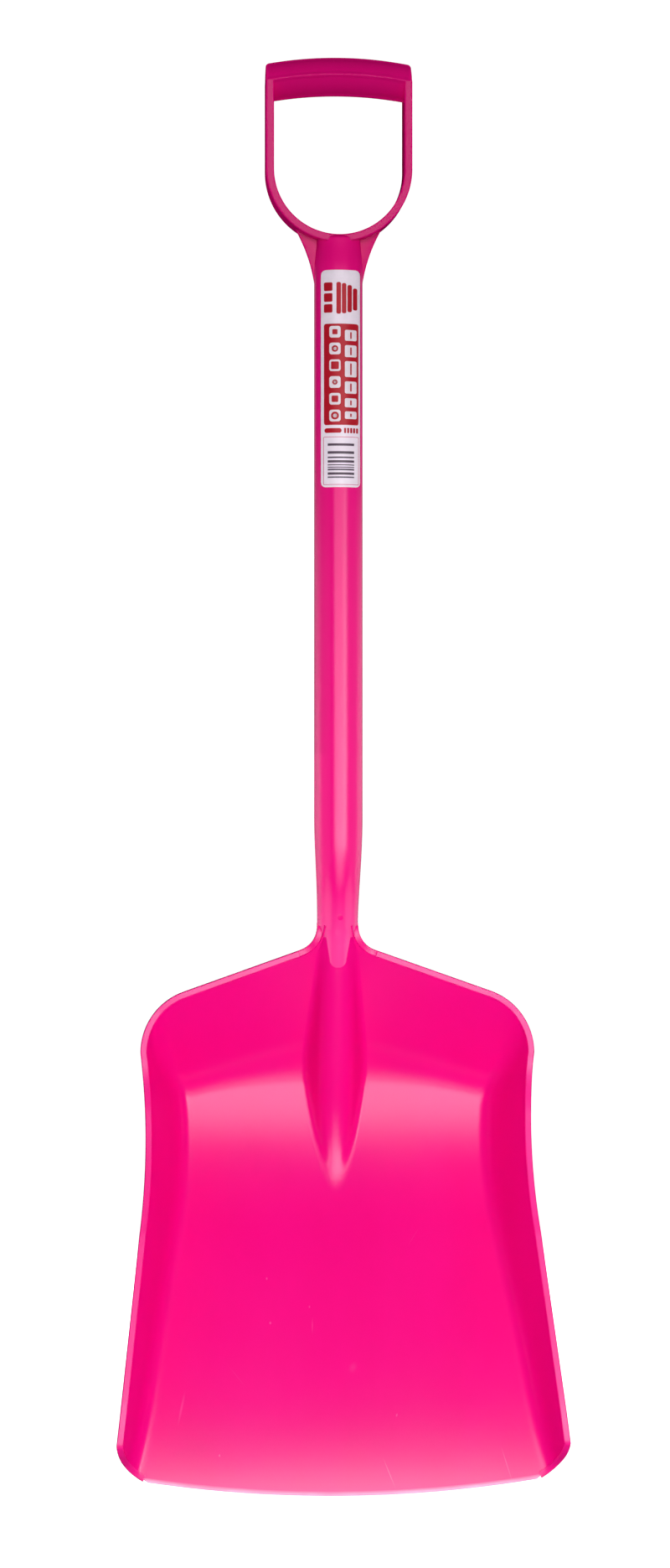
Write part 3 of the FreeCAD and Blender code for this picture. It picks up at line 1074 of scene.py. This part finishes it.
def plastic(name, colour, deep, roughness, scuff, marks_and_painted_light=None):
    """Moulded polypropylene: soft gloss, faint flow marks, orange peel and fine scuffs."""
    material, tree, shader = new_material(name)
    place = node(tree, "ShaderNodeTexCoord").outputs["Object"]
    flow = ranged(tree, noise(tree, stretched(tree, place, flow_stretch), 3.0, 3.0), 0.35, 0.65, 0.0, 1.0)
    tone = mixed(tree, flow, colour, deep)
    # colour marks passed in: scuffs with the lip's painted highlight, or the neck's painted highlight
    if marks_and_painted_light:
        tone = marks_and_painted_light(tree, tone, place)
    tree.links.new(tone, shader.inputs["Base Color"])
    fine = noise(tree, stretched(tree, place, scuff_stretch), 1.0, 4.0)
    cloud = noise(tree, place, 14.0, 4.0)
    scuffs = ranged(tree, fine, 0.5, 0.75, 0.0, scuff)
    base = ranged(tree, cloud, 0.3, 0.7, roughness - 0.01, roughness + 0.02)
    tree.links.new(maths(tree, "ADD", scuffs, base), shader.inputs["Roughness"])
    bumped(tree, shader, noise(tree, place, peel_scale, 1.0), bump_strength, peel_height)
    set_inputs(shader, {"IOR": plastic_ior})
    return material


def film(name, colour):
    """Printed label film with a faint paper tooth."""
    material, tree, shader = new_material(name)
    place = node(tree, "ShaderNodeTexCoord").outputs["Object"]
    tone = ranged(tree, noise(tree, place, 160.0, 3.0), 0.3, 0.7, 0.0, 1.0)
    darker = (colour[0] * film_shade, colour[1] * film_shade, colour[2] * film_shade, 1.0)
    tree.links.new(mixed(tree, tone, colour, darker), shader.inputs["Base Color"])
    bumped(tree, shader, noise(tree, place, 700.0, 2.0), bump_strength, tooth_height)
    set_inputs(shader, {"Roughness": film_roughness})
    return material


# textures: lengths in metres, shares and scales without a unit
noise_roughness = 0.55
flow_stretch = (6.0, 6.0, 1.6)
scuff_stretch = (900.0, 900.0, 60.0)
peel_scale = 260.0
peel_height = 0.0003
tooth_height = 0.0002
bump_strength = 0.05
plastic_ior = 1.49
film_roughness = 0.35
film_shade = 0.93
# painted lip highlight: heights above the lip's arc where it is full and where it has faded out
lip_highlight_from = 0.0012
lip_highlight_to = 0.0036
nick_core = 0.2
nick_strength = 0.6
nick_colour = srgb(255, 120, 190)
# colour of the painted highlight along the lip
lip_highlight_colour = srgb(255, 170, 212)
# each nick: place in x and z, half sizes (all in mm), turn in degrees and strength
nicks = [
    (-55.6, 159.6, 0.9, 1.3, 0.0, 0.55), (-22.8, 138.5, 0.8, 1.2, 0.0, 0.5),
    (-53.5, 126.8, 1.1, 1.3, 0.0, 0.6), (42.6, 58.8, 0.8, 1.6, 20.0, 0.6),
    (-94.2, 30.5, 0.9, 1.2, 0.0, 0.5), (-20.9, 124.5, 0.5, 7.0, 2.0, 0.35),
    (9.7, 93.8, 3.5, 5.0, 30.0, 0.14), (35.8, 16.5, 0.5, 13.0, -22.0, 0.45),
    (126.4, 22.0, 0.5, 15.0, -17.0, 0.5), (-123.0, 65.0, 1.2, 14.0, 13.0, 0.3),
    (60.0, 190.0, 0.4, 9.0, 35.0, 0.14), (-80.0, 88.0, 0.4, 12.0, -40.0, 0.14),
]
# painted highlight on the neck's lower front: its colour, the height below which it is full and the height
# where it ends
neck_highlight_colour = srgb(249, 56, 150)
neck_highlight_full_z = 0.418
neck_highlight_end_z = 0.462


def neck_painted_highlight(tree, tone, place):
    """Colour of the neck, with a painted highlight that pales it towards the blade."""
    return paled(tree, tone, place, neck_highlight_colour, neck_highlight_full_z, neck_highlight_end_z)


pink = srgb(244, 0, 131)
deep_pink = srgb(241, 0, 127)
blade_plastic = plastic("blade_plastic", pink, deep_pink, 0.20, 0.05, scuffs_and_lip_highlight)
frog_plastic = plastic("frog_plastic", pink, deep_pink, 0.20, 0.05)
# pink lighter than the blade's: a painted highlight on the rims
rim_plastic = plastic("rim_plastic", srgb(250, 20, 140), pink, 0.30, 0.06)
shaft_plastic = plastic("shaft_plastic", pink, deep_pink, 0.22, 0.04)
neck_plastic = plastic("neck_plastic", pink, deep_pink, 0.22, 0.04, neck_painted_highlight)
handle_plastic = plastic("handle_plastic", pink, deep_pink, 0.22, 0.05)
paper = film("label_paper", srgb(250, 236, 250))
red_ink = film("label_red", srgb(186, 0, 32))
white_ink = film("label_white", srgb(240, 228, 238))
dark_ink = film("label_dark", srgb(88, 70, 88))
frame_ink = film("label_frame", srgb(214, 60, 120))

blade_pan(blade_plastic)
frog(frog_plastic)
# the rims carry the painted highlight; their ends at the neck keep the plain pink
rim("rim_right", 1.0, rim_plastic, frog_plastic)
rim("rim_left", -1.0, rim_plastic, frog_plastic)
neck(neck_plastic)
neck_highlight_pad(neck_plastic)
gate_mark(frog_plastic)
shaft(shaft_plastic)
socket(handle_plastic)
d_strap(handle_plastic)
grip_bar(handle_plastic)
web("web_right", 1.0, handle_plastic)
web("web_left", -1.0, handle_plastic)


def patch(name, left, right, upper, lower, corner, level, ink):
    """Printed patch, placed from the label's left and top edges."""
    x = label_low.x
    z = label_high.z
    wrapped_patch(name, x + left, x + right, z - lower, z - upper, corner, ink_lifts[level], ink)


def label():
    """Wrapped label with generic printing: a mark, a panel, pictograms and bars."""
    low, high = label_low, label_high
    wrapped_patch("label", low.x, high.x, low.z, high.z, paper_corner, paper_lift, paper, ["label"])
    for i, (left, upper, lower) in enumerate(mark_bars):
        patch("label_mark_%d" % i, left, left + mark_bar_width, upper, lower, 1.4, "panel", red_ink)
    for i in range(3):
        down = i * name_pitch
        patch("label_name_%d" % i, 2.2, 8.6, 9.6 + down, 16.2 + down, 1.0, "panel", red_ink)
    patch("label_panel", 2.2, 29.2, 41.6, 119.9, 1.6, "panel", red_ink)
    for i, (upper, lower) in enumerate(block_spans):
        patch("label_block_%d" % i, 18.2, 27.6, upper, lower, 1.2, "print", white_ink)
        patch("label_slot_%d" % i, 22.4, 23.6, upper + 1.6, lower - 1.6, 0.4, "glyph", red_ink)
    for i in range(6):
        upper = icon_top + i * icon_pitch
        middle = upper + icon_size / 2.0
        patch("label_icon_%d" % i, 6.2, 14.9, upper, upper + icon_size, 1.9, "print", white_ink)
        size = 2.0 + 0.5 * (i % 3)
        corner = size * (round_share if i % 2 else square_share)
        patch("label_glyph_%d" % i, glyph_x - size, glyph_x + size, middle - size, middle + size,
              corner, "glyph", red_ink)
        if i % 2:
            hole = size * 0.5
            patch("label_hole_%d" % i, glyph_x - hole, glyph_x + hole, middle - hole, middle + hole,
                  hole * round_share, "glyph", white_ink)
    patch("label_seal", 2.6, 15.6, 122.4, 126.0, 1.7, "panel", red_ink)
    for i in range(5):
        across = i * note_pitch
        patch("label_note_%d" % i, 17.6 + across, 19.2 + across, 122.2, 126.2, 0.5, "panel", red_ink)
    patch("label_frame", 1.7, 29.4, 129.0, 166.2, 0.8, "panel", frame_ink)
    patch("label_field", 2.1, 29.0, 129.4, 165.8, 0.6, "print", paper)
    for i, (upper, lower) in enumerate(bar_spans):
        patch("label_bar_%d" % i, 5.0, 25.6, upper, lower, 0.1, "glyph", dark_ink)


label()


# ---- stage, lights and camera


def aim(thing, target):
    thing.rotation_mode = "QUATERNION"
    thing.rotation_quaternion = (Vector(target) - thing.location).to_track_quat("-Z", "Y")


def softbox(name, place, target, width, height, power):
    """White rectangular light that faces its target."""
    light = bpy.data.lights.new(name, "AREA")
    light.shape = "RECTANGLE"
    light.size = width
    light.size_y = height
    light.energy = power
    holder = bpy.data.objects.new(name, light)
    bpy.context.scene.collection.objects.link(holder)
    holder.location = place
    aim(holder, target)
    return holder


def glow(name, azimuth, distance, low_z, high_z, half_spread, radiance):
    """Upright panel round the shovel that is seen in reflections only."""
    turn = math.radians(azimuth)
    centre_z = (low_z + high_z) / 2.0
    width = 2.0 * distance * math.tan(math.radians(half_spread))
    place = (distance * math.sin(turn), -distance * math.cos(turn), centre_z)
    area = width * (high_z - low_z)
    holder = softbox(name, place, (0.0, 0.0, centre_z), width, high_z - low_z, radiance * area * math.pi)
    holder.visible_camera = False
    holder.visible_diffuse = False
    return holder


def apron(name, x, y, wide, deep, radiance):
    """Panel lying on the floor, facing up, seen in reflections only."""
    z = 0.01
    holder = softbox(name, (x, y, z), (x, y, 1.0), wide, deep, radiance * wide * deep * math.pi)
    holder.visible_camera = False
    holder.visible_diffuse = False
    return holder


def wash(name, place, target, size, power):
    """Soft light that colours the plastic without showing in its gloss."""
    holder = softbox(name, place, target, size, size, power)
    holder.visible_camera = False
    holder.visible_glossy = False
    return holder


def flag(holder, names):
    """Lets a light reach only some pieces."""
    receivers = bpy.data.collections.new(holder.name + "_receivers")
    for name in names:
        receivers.objects.link(pieces[name])
    holder.light_linking.receiver_collection = receivers


def stage_object(name, verts, faces, material):
    """Plain pale surface that is seen directly and adds no light or reflection to the plastic."""
    mesh = bpy.data.meshes.new(name)
    mesh.from_pydata(verts, [], faces)
    mesh.materials.append(material)
    made = bpy.data.objects.new(name, mesh)
    bpy.context.scene.collection.objects.link(made)
    made.visible_glossy = False
    made.visible_diffuse = False
    return made


white = (1.0, 1.0, 1.0, 1.0)


def stage():
    """Plain pale floor inside a plain pale round screen."""
    radius = 10.0
    height = 9.0
    drop = 0.0005
    sides = 64
    circle = []
    for i in range(sides):
        turn = 2.0 * math.pi * i / sides
        circle.append((radius * math.cos(turn), radius * math.sin(turn)))
    glow_strength = 0.95
    pale_grey = (0.9, 0.9, 0.9, 1.0)
    material, _, shader = new_material("backdrop")
    set_inputs(shader, {"Base Color": pale_grey, "Roughness": 1.0, "Specular IOR Level": 0.0,
                        "Emission Color": white, "Emission Strength": glow_strength})
    low = [(x, y, -drop) for x, y in circle]
    stage_object("floor", low, [tuple(range(sides))], material)
    high = [(x, y, height) for x, y in circle]
    faces = [(i, (i + 1) % sides, sides + (i + 1) % sides, sides + i) for i in range(sides)]
    screen = stage_object("screen", low + high, faces, material)
    screen.visible_shadow = False


stage()

middle_z = 0.5442
camera_distance = 3.4
camera_turn = math.radians(-3.5)
frame_centre_x = -0.0026
aim_at = Vector((frame_centre_x, axis_y * MM, middle_z))
sensor_width = 36.0
lens_length = 100.4
camera_data = bpy.data.cameras.new("camera")
camera_data.sensor_width = sensor_width
camera_data.lens = lens_length
camera = bpy.data.objects.new("camera", camera_data)
bpy.context.scene.collection.objects.link(camera)
back = Vector((math.sin(camera_turn), -math.cos(camera_turn), 0.0))
camera.location = aim_at + back * camera_distance
aim(camera, aim_at)
bpy.context.scene.camera = camera

handle_pieces = ["web_left", "web_right", "d_strap", "grip_bar"]
neck_pieces = ["neck", "neck_highlight_pad", "rim_left_root", "rim_right_root"]
blade_pieces = ["blade_pan", "frog", "rim_left", "rim_right"]
tube_pieces = [name for name in pieces if name not in handle_pieces + blade_pieces]
low_pieces = blade_pieces + tube_pieces

# wash: place, target, size and power; glow: azimuth, distance, low and high edge, half spread, radiance;
# apron: x, y, width, depth and radiance; lengths in metres
flag(wash("key_wash", (0.08, -1.0, 0.27), (0.0, 0.0, 0.27), 0.6, 11.2), low_pieces)
flag(wash("top_wash", (0.0, -0.9, 1.9), (0.0, 0.0, 1.05), 0.4, 2.4), tube_pieces)
flag(wash("handle_wash", (0.0, -1.2, 1.12), (0.0, 0.0, 1.05), 0.6, 6.5), handle_pieces)
flag(glow("front_low", -4.0, 2.4, 0.04, 0.85, 19.0, 3.1), low_pieces)
flag(glow("front_right_low", 27.0, 2.4, 0.04, 0.85, 11.0, 4.6), low_pieces)
flag(glow("front_left_low", -30.0, 2.4, 0.04, 0.62, 5.0, 4.2), blade_pieces)
flag(glow("front_high", -4.0, 2.4, 0.85, 1.08, 20.0, 1.3), low_pieces)
flag(glow("front_right_high", 27.0, 2.4, 0.85, 1.08, 11.0, 1.5), low_pieces)
flag(glow("handle_front", 0.0, 2.4, 1.1, 1.6, 14.0, 0.1), handle_pieces)
for side, tag in ((-1.0, "left"), (1.0, "right")):
    flag(glow("near_" + tag, side * 65.0, 1.5, 0.0, 0.85, 24.0, 0.5), tube_pieces)
    flag(glow("side_" + tag, side * 115.0, 1.5, 0.0, 0.85, 24.0, 0.8), tube_pieces)
    flag(wash("side_wash_" + tag, (side * 0.63, 0.30, 0.5), (0.0, 0.0, 0.5), 0.3, 2.3), tube_pieces)
    flag(wash("handle_side_" + tag, (side * 1.0, -0.05, 1.09), (0.0, 0.0, 1.05), 0.3, 3.6), handle_pieces)
    flag(apron("apron_" + tag, side * 0.85, 0.0, 0.8, 1.2, 1.6), neck_pieces)
wash("back_wash", (0.0, 1.7, 0.8), (0.0, 0.0, 0.5), 0.6, 20.0)
flag(glow("behind", 180.0, 1.3, 0.0, 1.7, 40.0, 0.4), tube_pieces)
flag(apron("apron_behind", 0.0, 0.9, 1.2, 1.2, 0.8), neck_pieces)
flag(apron("apron_front", 0.0, -0.22, 1.2, 0.05, 0.28), ["blade_pan"])

world_strength = 0.17
world = bpy.data.worlds.new("studio")
bpy.context.scene.world = world
world.use_nodes = True
set_inputs(world.node_tree.nodes["Background"], {"Color": white, "Strength": world_strength})
world.cycles_visibility.glossy = False
bpy.context.scene.view_settings.view_transform = "Standard"
